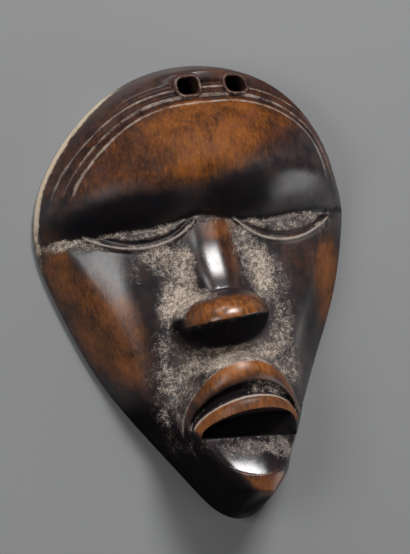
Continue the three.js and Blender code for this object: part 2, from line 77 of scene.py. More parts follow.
forehead = Sizes(centre_y=26, below=70, height=34.6, low=5, low_at_top=7, power=2.6, roundness=0.7)
crease = Sizes(y=20.3, tilt=0.03)
crease_arch = Sizes(x=-5, height=2.6, width=8)
crease_dip = Sizes(x=17, depth=1, width=7)
brow = Sizes(reach=17, power=2.1, undercut=1.3, blend=0.7, foot=0.6)

eye = Sizes(x=22.8, half_width=17.6, y=21, left_depth=6, right_depth=7, bulge=1.5)
lid = Sizes(inner_lift=1.2, inner_x=6, inner_width=4, soften=1.2)
lid_cut = Sizes(above=1.2, depth=1.0, width=0.8, ends=0.15)
lid_ridge = Sizes(below=0.5, height=1.1, width=0.95, ends=0.2)

nose = Sizes(x=0.2, y=-9.8, turn=6, length=30.5, root_height=25.6, climb=0.1, blend=1.1)
ridge = Sizes(half_width=6, root_widen=0.6, left_fall=3.4, left_power=3.5, right_fall=4.6, right_power=3)
ridge_blend = Sizes(size=3.2, from_along=6, to_along=14)
hump = Sizes(rise=1.8, from_along=25, to_along=12, swell=1.2, swell_along=16, swell_length=6)
cap = Sizes(shift=-1.2, half_width=14.2, length=9.8, height=27.5, rise=12.9, power=2.3, roundness=0.85)
cap_fall = Sizes(drop=70, underside=1.55)

mouth = Sizes(x=2, y=-43.5, turn=5, blend=0.8)
lip = Sizes(half_width=19.3, above=21.2, below=13, drop=90, sag=0.1)
lip_soft = Sizes(depth=1.2, start=0.8, reach=0.2)
lip_bow = Sizes(height=22.5, rise=16, power=2.2)
lip_edge = Sizes(half_width=17.6, height=14.2)
band = Sizes(half_width=17, height=10.2, inner_half_width=15, inner_height=6)
lip_groove = Sizes(depth=3.4, least=0.35, spread=1.05, ends=0.2, low=-1)
opening = Sizes(floor=25.2, corner_lift=4.5, roof_slope=5.5, end_slope=3, end=13.6, blend=0.5)

shelf = Sizes(y=-45.5, tilt=-0.04, x=3.4, left=17.2, right=12, length=11.3, roundness=0.7)
shelf_rise = Sizes(height=36.8, left_fall=4, right_fall=8.2, edge_slope=2.5)
dish = Sizes(depth=2.3, power=2, step=0.9, in_mouth=0.12)
chin_join = Sizes(blend=3, top_y=-38)
chin = Sizes(x=2, y=-61, turn=-6, height=37, left_curve=0.006, right_curve=0.04)
chin_side = Sizes(fall=6, width=20)
chin_slope = Sizes(edge_y=-57, above=0.05, below=0.12, top_y=-46, top=0.8)
chin_facet = Sizes(base=36, underside=2.7, above=1, blend=2)

grooves = [
    Sizes(inset=14, narrowing=0.19, depth=0.9, width=0.85),
    Sizes(inset=11.1, narrowing=0.16, depth=0.8, width=0.7),
    Sizes(inset=8.3, narrowing=0.13, depth=0.9, width=0.75),
]
band_step = Sizes(drop=0.8, above=0.2, below=0.6, from_y=26, to_y=36, spread=6)
hole_lip = Sizes(out=0.55, rise=0.35, width=0.5, clear=0.5, fade=1.5)

# Where a form fades in: nothing at the first place and full at the second
fade = Sizes(
    chin_lean=(-18, -64),
    top_lean=(28, 58),
    forehead_top=(45, 70),
    jaw_wall=(-18, -42),
    chin_wall=(-52, -70),
    temple_wall=(12, 34),
    top_wall=(45, 70),
    top_edge=(48, 70),
    chin_edge=(-55, -70),
    left_of_chin_x=(8, -6),
    left_of_chin_y=(-40, -64),
    right_of_chin_x=(0, 8),
    right_of_chin_y=(-50, -58),
    beside_nose_top=(20, -8),
    beside_nose_low=(-44, -26),
    nose_root=(14, 24),
    cheek_top=(26, 10),
    cheek_low=(-52, -36),
    jaw=(-36, -52),
    left_jaw_y=(-40, -47),
    left_jaw_x=(6, -4),
)

# Curves and blends


def ramp(start, end, v):
    t = np.clip((v - start) / (end - start), 0, 1)
    return t * t * (3 - 2 * t)


def bell(v, width):
    return np.exp(-((v / width) ** 2))


def smooth_max(a, b, size):
    h = np.clip(0.5 + 0.5 * (a - b) / size, 0, 1)
    return b * (1 - h) + a * h + size * h * (1 - h)


def smooth_min(a, b, size):
    return -smooth_max(-a, -b, size)


def seen_from(feature, x, y):
    """Position as seen from a feature's own centre and turn."""
    turn = radians(feature.turn)
    dx = x - feature.x
    dy = y - feature.y
    return dx * np.cos(turn) + dy * np.sin(turn), dy * np.cos(turn) - dx * np.sin(turn)


def arch_height(across, half_width, height):
    return height * np.sqrt(np.maximum(1 - (across / half_width) ** 2, 0))


# Outline of the back rim


def middle_x(y):
    chin_shift = lean.at_chin * ramp(*fade.chin_lean, y)
    top_shift = lean.at_top * ramp(*fade.top_lean, y)
    return lean.whole + chin_shift + top_shift - lean.at_cheek * bell(y - lean.cheek_y, lean.cheek_spread)


def half_width_at(y):
    full = WIDTH / 2
    up = (y - outline.widest_y) / (outline.top_y - outline.widest_y)
    above = full * np.sqrt(np.maximum(1 - up * up, 0))
    down = np.maximum(outline.widest_y - y, 0)
    taper_length = outline.widest_y - outline.chin_y + taper.past_chin
    tapered = full * (1 - (down / taper_length) ** taper.power)
    rise = np.maximum(y - outline.chin_y, 0)
    blunt = np.sqrt(2 * taper.chin_radius * rise + taper.chin_spread * rise * rise)
    below = smooth_min(tapered, blunt, taper.blend * np.clip(rise / taper.ease_in, 0.001, 1))
    return np.where(y > outline.widest_y, above, below)


MIDDLE_Y = (outline.top_y + outline.chin_y) / 2
HALF_Y = (outline.top_y - outline.chin_y) / 2


def outline_loop(count=720):
    angle = np.linspace(0, 2 * np.pi, count, endpoint=False)
    y = MIDDLE_Y + HALF_Y * np.cos(angle)
    return np.stack([middle_x(y) + np.sign(np.sin(angle)) * half_width_at(y), y], -1)


class InsetMap:
    """Distance in from the outline, worked out once on a square grid and read between its points."""

    def __init__(self, half_width=56, half_length=76, step=0.5):
        self.step = step
        self.low = (-half_width, -half_length)
        across = np.arange(-half_width, half_width + 1, step)
        up = np.arange(-half_length, half_length + 1, step)
        x, y = np.meshgrid(across, up)
        nearest = np.full(x.shape, np.inf)
        loop = outline_loop()
        for (ax, ay), (bx, by) in zip(loop, np.roll(loop, -1, axis=0)):
            ex, ey = bx - ax, by - ay
            t = np.clip(((x - ax) * ex + (y - ay) * ey) / (ex * ex + ey * ey), 0, 1)
            nearest = np.minimum(nearest, (x - ax - t * ex) ** 2 + (y - ay - t * ey) ** 2)
        inside = (np.abs(x - middle_x(y)) < half_width_at(y)) & (np.abs(y - MIDDLE_Y) < HALF_Y)
        self.table = np.sqrt(nearest) * np.where(inside, 1, -1)

    def at(self, x, y):
        across = (x - self.low[0]) / self.step
        up = (y - self.low[1]) / self.step
        i = np.clip(across.astype(int), 0, self.table.shape[1] - 2)
        j = np.clip(up.astype(int), 0, self.table.shape[0] - 2)
        s, t = across - i, up - j
        lower = self.table[j, i] * (1 - s) + self.table[j, i + 1] * s
        upper = self.table[j + 1, i] * (1 - s) + self.table[j + 1, i + 1] * s
        return np.maximum(lower * (1 - t) + upper * t, 0)


insets = InsetMap()

# Carved front, built up from the same features as the solid


def face_plane(x, y):
    across = np.clip((x - middle_x(y)) / np.maximum(half_width_at(y), 4), -1.2, 1.2)
    return face.height - face.fall * np.abs(across) ** face.power


def crease_y(x):
    arch = crease_arch.height * bell(x - crease_arch.x, crease_arch.width)
    return crease.y + crease.tilt * x + arch - crease_dip.depth * bell(x - crease_dip.x, crease_dip.width)


def brow_height(x, y):
    reach_y = np.where(y > forehead.centre_y, outline.top_y - forehead.centre_y, forehead.below)
    out = np.hypot((x - middle_x(y)) / (WIDTH / 2), (y - forehead.centre_y) / reach_y)
    low = forehead.low + forehead.low_at_top * ramp(*fade.forehead_top, y)
    dome_round = np.maximum(1 - out**forehead.power, 1e-4) ** forehead.roundness
    dome = low + (forehead.height - low) * dome_round
    foot = face_plane(x, y) - brow.foot
    above = y - crease_y(x)
    rise = 1 - (1 - np.clip(above / brow.reach, 0, 1)) ** brow.power
    return np.where(above < 0, foot + brow.undercut * above, foot + (dome - foot) * rise)


def side_wall(x, y, inset):
    jaw = side_slope.jaw * ramp(*fade.jaw_wall, y) - side_slope.chin * ramp(*fade.chin_wall, y)
    temple = side_slope.temple * ramp(*fade.temple_wall, y) + side_slope.top * ramp(*fade.top_wall, y)
    left_of_chin = side_slope.left_of_chin * ramp(*fade.left_of_chin_x, x) * ramp(*fade.left_of_chin_y, y)
    right_of_chin = side_slope.right_of_chin * ramp(*fade.right_of_chin_x, x)
    right_of_chin = right_of_chin * ramp(*fade.right_of_chin_y, y)
    edge = side.edge + side.top_edge * ramp(*fade.top_edge, y) + side.chin_edge * ramp(*fade.chin_edge, y)
    return edge + (side_slope.cheek + jaw + temple + left_of_chin + right_of_chin) * inset


def with_cheeks(height, x, y):
    out = np.abs(x)
    swell = cheek.rise * bell(out - cheek.x, cheek.width) * bell(y - cheek.y, cheek.length)
    dip = beside_nose.dip * bell(out - beside_nose.x, beside_nose.width)
    return height + swell - dip * ramp(*fade.beside_nose_top, y) * ramp(*fade.beside_nose_low, y)


def muzzle_height(x, y):
    reach = np.where(y > muzzle.y, muzzle.above, muzzle.below)
    out = np.hypot((x - muzzle.x) / muzzle.half_width, (y - muzzle.y) / reach)
    return muzzle_rise.height - muzzle_rise.fall * out**muzzle_rise.power


def lid_line(x):
    """How far an eyelid's edge reaches within its eye, and its height on the face."""
    across = np.clip((np.abs(x) - eye.x) / eye.half_width, -1.3, 1.3)
    within = 1 - across * across
    depth = np.where(x > 0, eye.right_depth, eye.left_depth)
    inner_lift = lid.inner_lift * bell(np.abs(x) - lid.inner_x, lid.inner_width)
    return within, eye.y - depth * np.maximum(within, 0) + inner_lift


def with_eyes(height, x, y):
    within, lid_y = lid_line(x)
    top = crease_y(x)
    part = np.clip((y - lid_y) / np.maximum(top - lid_y, 0.5), 0, 1)
    ball = eye.bulge * np.sqrt(np.maximum(1 - (2 * part - 1) ** 2, 0)) * np.maximum(within, 0)
    gap = lid_cut.depth * bell(y - lid_y - lid_cut.above, lid_cut.width) * ramp(0, lid_cut.ends, within)
    rim = lid_ridge.height * bell(y - lid_y + lid_ridge.below, lid_ridge.width)
    rim = rim * ramp(0, lid_ridge.ends, within + 0.02)
    ball = ball * ramp(0, lid.soften, top - y + 0.4) * ramp(0, lid.soften, y - lid_y)
    return height + ball - gap + rim


def nose_height(x, y):
    across, along = seen_from(nose, x, y)
    up = np.maximum(along, 0)
    under = cap_fall.underside * np.minimum(along, 0)
    swell = hump.swell * bell(up - hump.swell_along, hump.swell_length)
    half_width = ridge.half_width + ridge.root_widen * ramp(*fade.nose_root, up) + swell
    crest = nose.root_height + (nose.length - along) * nose.climb
    crest = crest + hump.rise * ramp(hump.from_along, hump.to_along, up)
    share = np.abs(across) / half_width
    right_flank = ridge.right_fall * share**ridge.right_power
    flank = np.where(across > 0, right_flank, ridge.left_fall * share**ridge.left_power)
    out = np.hypot((across - cap.shift) / cap.half_width, up / cap.length)
    cap_round = cap.rise * np.maximum(1 - out**cap.power, 0) ** cap.roundness
    cap_top = cap.height + cap_round - cap_fall.drop * np.maximum(out - 1, 0) + under
    return np.where(along > nose.length, 0, smooth_max(crest - flank + under, cap_top, nose.blend))


def lip_arches(across):
    """Lower edge of the upper lip, then the upper and lower edges of the band under it."""
    return (
        arch_height(across, lip_edge.half_width, lip_edge.height),
        arch_height(across, band.half_width, band.height),
        arch_height(across, band.inner_half_width, band.inner_height),
    )


def with_mouth(height, x, y):
    across, up = seen_from(mouth, x, y)
    bow = 1 - np.clip(np.abs(across) / lip.half_width, 0, 1) ** lip_bow.power
    bowed = lip_bow.height + lip_bow.rise * bow
    out = np.hypot(across / lip.half_width, up / np.where(up > 0, lip.above, lip.below))
    softened = lip_soft.depth * np.clip((out - lip_soft.start) / lip_soft.reach, 0, 1) ** 2
    softened = softened + lip.sag * np.minimum(up, 0) ** 2
    upper = bowed - softened - lip.drop * np.maximum(out - 1, 0)
    carved = smooth_max(height, upper, mouth.blend)

    # Groove between the lip and the band under it
    lip_low, band_top, band_low = lip_arches(across)
    groove_width = np.maximum((lip_low - band_top) / 2, lip_groove.least)
    groove_ends = ramp(0, lip_groove.ends, 1 - (across / lip_edge.half_width) ** 2) * (up > lip_groove.low)
    groove = bell(up - (lip_low + band_top) / 2, groove_width * lip_groove.spread)
    carved = carved - lip_groove.depth * groove_ends * groove

    # Block of the chin, whose front edge runs under the lower lip
    with_chin = smooth_max(carved, chin_height(x, y), chin_join.blend)
    carved = np.where(y < chin_join.top_y, with_chin, carved)

    # Opening of the mouth and the dished shelf below it
    above_shelf = y - (shelf.y + shelf.tilt * x)
    reach = np.where(x < shelf.x, shelf.left, shelf.right)
    shelf_across = np.minimum(np.abs(x - shelf.x) / reach, 1)
    shelf_length = shelf.length * np.maximum(1 - shelf_across**2, 0) ** shelf.roundness
    fall = np.where(x < shelf.x, shelf_rise.left_fall, shelf_rise.right_fall)
    front_edge = shelf_rise.height - fall * shelf_across**2
    down = np.clip(-above_shelf / np.maximum(shelf_length, 0.3), 0, 1)
    past = shelf_rise.edge_slope * np.maximum(-above_shelf - shelf_length, 0)
    dished = front_edge - dish.depth * (1 - shelf_across**2) * (1 - down**dish.power) + past
    cavity = opening.floor + opening.corner_lift * shelf_across**4
    cavity = cavity + dish.in_mouth * np.maximum(above_shelf, 0)
    floor = cavity + (dished - cavity) * ramp(dish.step, 0, above_shelf)
    roof = bowed - opening.roof_slope * (band_low - up)
    end = opening.floor + opening.end_slope * (np.abs(across) - opening.end)
    return smooth_min(carved, np.maximum(np.maximum(floor, roof), end), opening.blend)


def chin_height(x, y):
    across, up = seen_from(chin, x, y)
    below = chin_slope.edge_y - y
    slope = chin_slope.above * np.maximum(-below, 0) + chin_slope.below * np.maximum(below, 0)
    slope = slope + chin_slope.top * np.maximum(y - chin_slope.top_y, 0)
    left_fall = chin.left_curve * across**2 + chin_side.fall * (across / chin_side.width) ** 6
    front = chin.height - np.where(across < 0, left_fall, chin.right_curve * across**2) - slope
    facet = chin_facet.base + chin_facet.underside * (up + chin_facet.above)
    return smooth_min(front, facet, chin_facet.blend)


HOLE_Y = outline.top_y - hole.from_top


def with_hairline(height, x, y, inset):
    spread = np.hypot(x, band_step.spread) - band_step.spread
    above_brow = ramp(band_step.from_y, band_step.to_y, y)
    band_edge = grooves[0].inset - grooves[0].narrowing * spread
    cut = band_step.drop * ramp(band_edge + band_step.above, band_edge - band_step.below, inset)
    for groove in grooves:
        cut = cut + groove.depth * bell(inset - groove.inset + groove.narrowing * spread, groove.width)
    out = beyond_holes(x, y)
    lip_rise = hole_lip.rise * bell(out - hole_lip.out, hole_lip.width)
    return height - cut * above_brow * ramp(hole_lip.clear, hole_lip.fade, out) + lip_rise


def beyond_holes(x, y):
    """Distance out from the nearer of the two round-cornered cord holes."""
    sideways = np.abs(np.abs(x - hole.x) - hole.spacing / 2) - hole.width / 2 + hole.radius
    upways = np.abs(y - HOLE_Y) - hole.height / 2 + hole.radius
    return np.hypot(np.maximum(sideways, 0), np.maximum(upways, 0)) - hole.radius


def front_height(x, y):
    inset = insets.at(x, y)
    height = with_cheeks(face_plane(x, y), x, y)
    height = smooth_max(height, muzzle_height(x, y), muzzle_rise.blend)
    height = with_eyes(height, x, y)
    _, up_nose = seen_from(nose, x, y)
    nose_blend = nose.blend + ridge_blend.size * ramp(ridge_blend.from_along, ridge_blend.to_along, up_nose)
    height = smooth_max(height, nose_height(x, y), nose_blend)
    height = with_mouth(height, x, y)
    height = smooth_max(height, brow_height(x, y), brow.blend)
    on_cheek = ramp(*fade.cheek_top, y) * ramp(*fade.cheek_low, y)
    wall_blend = side.blend + side.cheek_blend * on_cheek + side.jaw_blend * ramp(*fade.jaw, y)
    on_left_jaw = ramp(*fade.left_jaw_y, y) * ramp(*fade.left_jaw_x, x)
    height = height - left_jaw.drop * np.maximum(1 - inset / left_jaw.width, 0) ** 2 * on_left_jaw
    height = smooth_min(height, side_wall(x, y, inset), wall_blend)
    return with_hairline(height, x, y, inset)


def hollow_height(x, y):
    """Hollow back, a plainer copy of the front one wall thickness below it."""
    under_brow = brow_height(x, y - hollow.brow_shift * WALL)
    under = smooth_max(face_plane(x, y), under_brow, hollow.brow_blend) - WALL
    side_slant = hollow.slope * (insets.at(x, y) - RIM)
    return smooth_max(smooth_min(under, side_slant, hollow.side_blend), 0, hollow.rim_blend)


# Mesh of the mask

# Points across and up the front, how far they crowd towards the outline, and how many steps of the
# front's grid the hollow's grid takes at once
FRONT_ACROSS = 433
FRONT_UP = 601
EDGE_CROWD = 0.42
BACK_STRIDE = 2

# Fineness after thinning, in triangles and millimetres, and of the corners of the cord holes
THINNED_TRIANGLES = 122000
LONGEST_EDGE = 1.15
CORNER_STEPS = 8

# Angle in degrees past which an edge is shaded sharp
SHARP_ANGLE = 55

# Share of the outline that the hollow's grid takes, inside the rounded foot of the edge
BACK_SHARE = 0.988

# Rows down the low edge: share of the outline, share of the edge's height, and height above the rim
EDGE_ROWS = [(1, 0.66, 0), (1, 0.33, 0), (0.9985, 0, 0.45), (0.994, 0, 0.08)]


def place(u, v):
    """Carries a square from -1 to 1 onto the teardrop, whose outline takes the square's border."""
    across = u * np.sqrt(1 - v * v / 2)
    up = v * np.sqrt(1 - u * u / 2)
    y = MIDDLE_Y + HALF_Y * up
    x = middle_x(y) + half_width_at(y) * across / np.sqrt(np.maximum(1 - up * up, 1e-12))
    return x, y


def crowded(count):
    """Steps from -1 to 1 that are closer together at both ends."""
    t = np.linspace(-1, 1, count)
    return (1 - EDGE_CROWD) * t + EDGE_CROWD * np.sin(t * np.pi / 2)


def border(rows, columns):
    """Numbers of a grid's border points in order, starting at its lowest corner."""
    i, j = np.arange(columns - 1), np.arange(rows - 1)
    bottom = i
    right = j * columns + columns - 1
    top = (rows - 1) * columns + (columns - 1 - i)
    left = (rows - 1 - j) * columns
    return np.concatenate([bottom, right, top, left])


def grid_faces(rows, columns):
    number = np.arange(rows * columns).reshape(rows, columns)
    quads = np.stack([number[:-1, :-1], number[:-1, 1:], number[1:, 1:], number[1:, :-1]], -1)
    return quads.reshape(-1, 4)


def carved_mesh():
    """One closed skin: the carved front, the low edge round it, and the hollow back."""
    u, v = np.meshgrid(crowded(FRONT_ACROSS), crowded(FRONT_UP))
    x, y = place(u, v)
    front = np.stack([x, y, front_height(x, y)], -1).reshape(-1, 3)
    ring = border(FRONT_UP, FRONT_ACROSS)
    ring_u, ring_v = u.reshape(-1)[ring], v.reshape(-1)[ring]
    edge_z = front[ring, 2]

    # Edge from the front down to the rim, softly rounded at its foot
    points = [front]
    faces = [grid_faces(FRONT_UP, FRONT_ACROSS)]
    total = len(front)
    above = ring
    for shrink, share, z in EDGE_ROWS:
        rx, ry = place(ring_u * shrink, ring_v * shrink)
        points.append(np.stack([rx, ry, edge_z * share + z], -1))
        below = total + np.arange(len(ring))
        total += len(ring)
        faces.append(np.stack([above, below, np.roll(below, -1), np.roll(above, -1)], -1))
        above = below

    # Hollow back, on a coarser grid that faces the other way
    bu = u[::BACK_STRIDE, ::BACK_STRIDE] * BACK_SHARE
    bv = v[::BACK_STRIDE, ::BACK_STRIDE] * BACK_SHARE
    rows, columns = bu.shape
    bx, by = place(bu, bv)
    points.append(np.stack([bx, by, hollow_height(bx, by)], -1).reshape(-1, 3))
    faces.append(grid_faces(rows, columns)[:, ::-1] + total)
    back_ring = border(rows, columns) + total
    closing = []
    for i, start in enumerate(back_ring):
        first = i * BACK_STRIDE
        fine = [above[(first + k) % len(above)] for k in range(BACK_STRIDE + 1)]
        closing.append([int(n) for n in [*fine[::-1], start, back_ring[(i + 1) % len(back_ring)]]])

    quads = [list(map(int, face)) for face in np.concatenate(faces)]
    mesh = bpy.data.meshes.new("mask_carved")
    mesh.from_pydata(np.concatenate(points).tolist(), [], quads + closing)
    mesh.update()
    return mesh


def applied(obj):
    """The object's mesh with its modifiers worked in."""
    depsgraph = bpy.context.evaluated_depsgraph_get()
    mesh = bpy.data.meshes.new_from_object(obj.evaluated_get(depsgraph), depsgraph=depsgraph)
    obj.modifiers.clear()
    return mesh


def cord_hole(x):
    """A round-cornered bar that stands where one cord hole is bored."""
    corner_x, corner_y = hole.width / 2 - hole.radius, hole.height / 2 - hole.radius
    loop = []
    for turn, (sx, sy) in enumerate([(1, 1), (-1, 1), (-1, -1), (1, -1)]):
        for step in range(CORNER_STEPS + 1):
            angle = np.pi / 2 * (turn + step / CORNER_STEPS)
            loop.append((
                x + sx * corner_x + hole.radius * np.cos(angle),
                HOLE_Y + sy * corner_y + hole.radius * np.sin(angle),
            ))
    count = len(loop)
    points = [(px, py, hole_reach.low) for px, py in loop] + [(px, py, hole_reach.high) for px, py in loop]
    faces = [list(range(count))[::-1], list(range(count, 2 * count))]
    for i in range(count):
        j = (i + 1) % count
        faces.append([i, j, count + j, count + i])
    mesh = bpy.data.meshes.new("cord_hole")
    mesh.from_pydata(points, [], faces)
    return bpy.data.objects.new("cord_hole", mesh)


def cut_long_edges(mesh):
    """Halves the long edges of the front twice, so that every mark on it has points enough."""
    bm = bmesh.new()
    bm.from_mesh(mesh)
    for _ in range(2):
        front = [edge for edge in bm.edges if edge.verts[0].normal.z + edge.verts[1].normal.z > 0]
        long = [edge for edge in front if edge.calc_length() > LONGEST_EDGE]
        bmesh.ops.subdivide_edges(bm, edges=long, cuts=1)
        cut = [face for face in bm.faces if len(face.verts) > 3]
        bmesh.ops.triangulate(bm, faces=cut, quad_method="SHORT_EDGE")
    bm.to_mesh(mesh)
    bm.free()


def build_mask():
    scene = bpy.context.scene
    mask = bpy.data.objects.new("mask_wood", carved_mesh())
    scene.collection.objects.link(mask)
    thin = mask.modifiers.new("thin", "DECIMATE")
    thin.use_collapse_triangulate = True
    full = sum(len(face.vertices) - 2 for face in mask.data.polygons)
    thin.ratio = THINNED_TRIANGLES / full
    mask.data = applied(mask)
    cut_long_edges(mask.data)

    for x in (hole.x - hole.spacing / 2, hole.x + hole.spacing / 2):
        bar = cord_hole(x)
        scene.collection.objects.link(bar)
        bore = mask.modifiers.new("bore", "BOOLEAN")
        bore.operation = "DIFFERENCE"
        bore.solver = "EXACT"
        bore.object = bar
        mask.data = applied(mask)
        bpy.data.objects.remove(bar)
    return mask


def drawn_points(mesh):
    points = np.empty(len(mesh.vertices) * 3)
    mesh.vertices.foreach_get("co", points)
    return points.reshape(-1, 3)


# Where the wood is worn, blackened or crusted, and where shade and highlights are painted on, for each
# point of the mesh.
# An oval patch has its centre, its half width and half length, its turn in degrees, the soft share of
# its edge, and its strength.

FOREHEAD_WEAR = ((-9, 50), (46, 19), 13, 0.28, 0.88)
CHIN_WEAR = ((9, -61), (13, 4.2), -8, 0.45, 0.75)
LIP_BLOT = ((4.8, -53.2), (3.4, 3), 0, 0.5, 1)

nose_flat = Sizes(shift=-0.8, half_width=15.2, length=8.2)

WORN_PLACES = [
    ((-33, -9), (8, 19), 25, 0.55, 1),  # left cheek
    ((-46, 11), (4, 13), 12, 0.5, 0.75),  # left edge beside the eye
    ((38, 1), (6, 14), -8, 0.55, 0.85),  # right cheek
    ((28, 8), (9, 11), -8, 0.8, 0.35),  # below the right eye
    ((4.5, 10), (2.5, 9), 4, 0.8, 0.5),  # right flank of the nose
    ((1.5, 12), (6, 12), 5, 0.7, 0.35),  # ridge of the nose
    ((1, 18), (5.5, 4), 0, 0.7, 0.75),  # root of the nose
    ((4, 28), (6, 6), 0, 0.7, 0.35),  # middle of the brow
    ((-6, -55), (2.5, 9), 52, 0.6, 0.55),  # left edge of the lower lip
]
# Painted shade: black laid on the underside of the brow, in the valleys inside the cheeks and on the
# down-facing foot of the chin, where shade falls.
SHADE_PAINTED_PLACES = [
    ((-27, 25), (24, 6), 7, 0.5, 1),  # left brow
    ((8, 28), (12, 6.5), 6, 0.5, 1),  # right brow
    ((-22.5, -17), (3.2, 23), 2, 0.6, 0.6),  # inside of the left cheek
    ((29, -6), (4.5, 15), 8, 0.6, 0.6),  # inside of the right cheek
    ((11, -67.5), (14, 4), -5, 0.3, 1),  # foot of the chin
]
CRUST_PLACES = [
    ((13, 5), (5.5, 12), 22, 0.8, 0.95),  # right of the nose
    ((19, -12), (4, 11), -4, 0.9, 0.6),
    ((20, -26), (7, 8), 0, 0.9, 0.42),
    ((-12, -2), (7, 15), -4, 0.7, 1),  # left of the nose
    ((-16, -27), (7, 19), 4, 0.9, 0.52),
    ((-11, 12), (12, 8), 20, 0.8, 0.75),
    ((1, -21.5), (18, 5.5), 0, 0.6, 0.9),  # above the upper lip
    ((-24, 18.5), (20, 4), 2, 0.5, 0.6),  # left eye
    ((-43, 19), (7, 2.5), 5, 0.5, 0.75),
    ((22, 18.5), (20, 4.5), 2, 0.5, 0.42),  # right eye
    ((5, -49.5), (12, 4), -4, 0.7, 0.55),  # lower lip
    ((27, -42), (3, 6), 0, 0.6, 0.35),  # right of the mouth
]
POLISHED_PLACES = [
    ((-1, 9), (8, 12), 6, 0.6, 0.8),  # ridge of the nose
    ((-32, 8), (12, 10), 10, 0.8, 1),  # left cheek
    ((0, -52), (16, 9), -6, 0.4, 1),  # lower lip
    ((29, 28), (13, 8), -8, 0.6, 0.9),  # right brow
    ((-20, 64), (26, 8), 25, 0.6, 0.7),  # top left of the side wall
]
DULL_PLACES = [
    ((-3, 48), (42, 17), 13, 0.35, 0.95),  # forehead
    ((39, 0), (8, 18), -8, 0.4, 0.6),  # right cheek
]


def patch(x, y, centre, size, turn, soft, amount):
    """An oval patch, full inside, that fades out over the soft share round its edge."""
    across, along = seen_from(Sizes(x=centre[0], y=centre[1], turn=turn), x, y)
    out = np.hypot(across / size[0], along / size[1])
    return amount * ramp(1 + soft, 1 - soft, out)


def most(*shares):
    """The strongest of several marks at each point."""
    result = shares[0]
    for share in shares[1:]:
        result = np.maximum(result, share)
    return result


def patches(x, y, places):
    """The strongest of several oval patches at each point."""
    return most(*[patch(x, y, *place) for place in places])


def tip_out(x, y):
    """Share of the way from the middle of the nose's cap out to its edge."""
    across, along = seen_from(nose, x, y)
    return np.hypot((across - cap.shift) / cap.half_width, along / cap.length)


def nose_parts(x, y):
    """The nose's cap, the wear on it, the dark flat below it, and the ridge above it."""
    across, along = seen_from(nose, x, y)
    out = tip_out(x, y)
    tip = ramp(1.0, 0.88, out) * ramp(-0.3, 0.2, along) * ramp(9, 5, along)
    tip_wear = tip * (0.5 + 0.5 * ramp(1.0, 0.35, out))
    below = np.hypot((across - nose_flat.shift) / nose_flat.half_width, along / nose_flat.length)
    underside = ramp(0.1, -0.6, along) * ramp(1.15, 0.9, below)
    foot = ramp(1.12, 1.03, out) * ramp(5, 2, along) * ramp(-4, -9, across) * ramp(-1, 0, along)
    underside = most(underside, foot * (1 - tip))
    bridge = ramp(7, 4.5, np.abs(across + 0.5)) * ramp(10, 12, along) * ramp(30, 26, along)
    return tip, tip_wear, underside, bridge


def mouth_parts(x, y, z):
    """Upper lip, a painted highlight line along its edge, the band, its pale edge, the groove between, and
    the deep opening.
    """
    across, up = seen_from(mouth, x, y)
    out = np.hypot(across / lip.half_width, up / np.where(up > 0, lip.above, lip.below))
    lip_low, band_top, band_low = lip_arches(across)
    upper = ramp(1.0, 0.95, out) * ramp(lip_low - 0.3, lip_low + 0.6, up) * ramp(-6, -2, up)
    # Painted shade: the lip's mark fades towards its lower edge, where the lip rolls under into the groove
    upper = upper * (0.45 + 0.55 * ramp(lip_low + 0.5, lip_low + 4.5, up))
    # Painted highlight line along the upper lip's top edge
    lip_highlight_line = bell(out - 0.975, 0.02) * ramp(-0.5, 3, up)
    on_band = ramp(band_top + 0.3, band_top - 0.2, up) * ramp(band_low - 0.4, band_low + 0.3, up)
    on_band = on_band * ramp(band.half_width + 0.4, band.half_width - 0.8, np.abs(across))
    band_line = bell(up - band_top + 0.25, 0.36) * (up > 0.2)
    band_line = band_line * ramp(band.half_width, band.half_width - 1.5, np.abs(across))
    groove = ramp(band_top, band_top + 0.6, up) * ramp(lip_low + 0.6, lip_low, up)
    groove = groove * ramp(lip_edge.half_width, lip_edge.half_width - 1, np.abs(across)) * (up > -0.5)
    inside = (up < band_low) & (y > shelf.y + shelf.tilt * x - 0.2)
    inside = inside & (np.abs(across) < band.inner_half_width)
    cavity = np.where(inside, ramp(33.5, 31, z), 0)
    return upper, lip_highlight_line, on_band, band_line, groove, cavity


def hairline_parts(x, y, inset):
    """Pale dust and painted highlight lines on the ridges between the grooves, the whole hairline band, and
    the lips round the cord holes.
    """
    spread = np.hypot(x, band_step.spread) - band_step.spread
    above_brow = ramp(band_step.from_y, band_step.to_y, y)
    lines = [inset - groove.inset + groove.narrowing * spread for groove in grooves]
    out = beyond_holes(x, y)
    clear = ramp(0.4, 1.2, out)
    # Pale lines of dust and painted highlight along the forehead's edge and the ridges between the grooves
    edge = bell(lines[0] - 0.9, 0.55)
    broad = ramp(-0.5, -1.0, lines[0]) * ramp(0.3, 0.8, lines[1])
    thin = bell(lines[1] + 1.35, 0.4)
    dust_and_highlight_ridges = most(0.65 * edge, 0.5 * broad, 0.6 * thin) * above_brow * clear
    on_band = ramp(0.5, -0.5, lines[0]) * above_brow
    lips = bell(out - hole_lip.out, 0.55)
    return dust_and_highlight_ridges, on_band, lips


